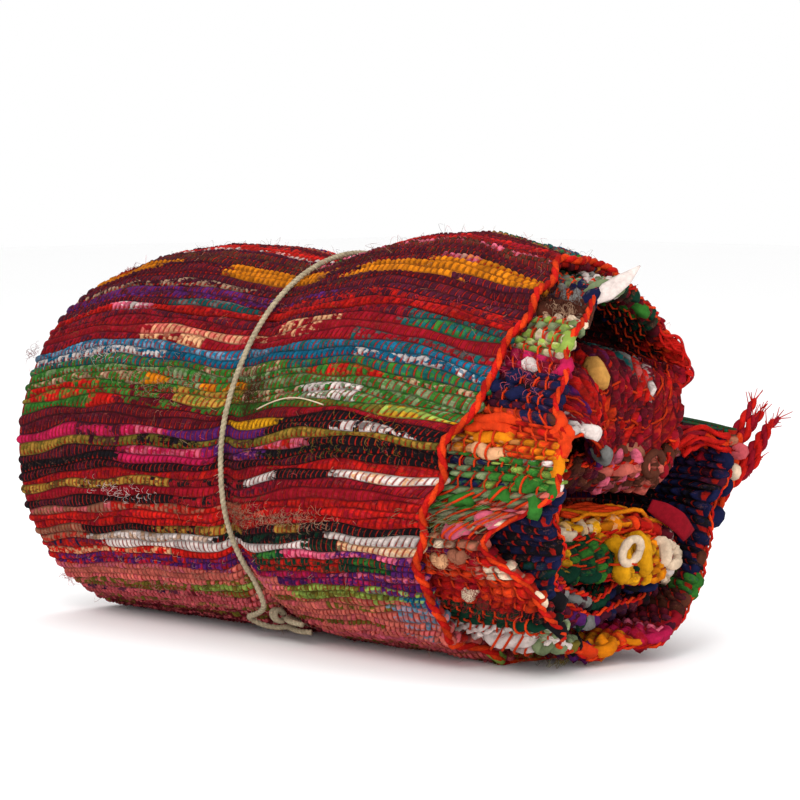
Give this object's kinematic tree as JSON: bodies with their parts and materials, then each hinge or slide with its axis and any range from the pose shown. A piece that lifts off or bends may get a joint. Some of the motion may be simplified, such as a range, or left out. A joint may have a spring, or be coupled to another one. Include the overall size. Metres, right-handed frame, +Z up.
{
  "type": "rolled rag rug",
  "caption": "Multicoloured rag-weave rug with knotted fringe, folded lengthwise, rolled up loosely and tied round the middle with jute twine.",
  "frame": {"origin": "middle of the footprint's box, on the surface that the roll rests on", "axes": "+X along the roll towards its open end with the selvedges, +Z up, the free end with its fringe on the +Y side"},
  "size_m": [0.5508, 0.353, 0.2934],
  "materials": {
    "rag_weave": "matte weft-faced weave of coloured rag strips over a red cotton warp",
    "warp_yarn": "matte twisted cotton yarn, knotted, with some rag ends",
    "jute_twine": "matte hairy two-ply twine"
  },
  "bodies": {
    "root": {"rug": "rag_weave", "fringe_outer": "warp_yarn", "fringe_inner": "warp_yarn", "twine": "jute_twine"}
  },
  "joints": []
}
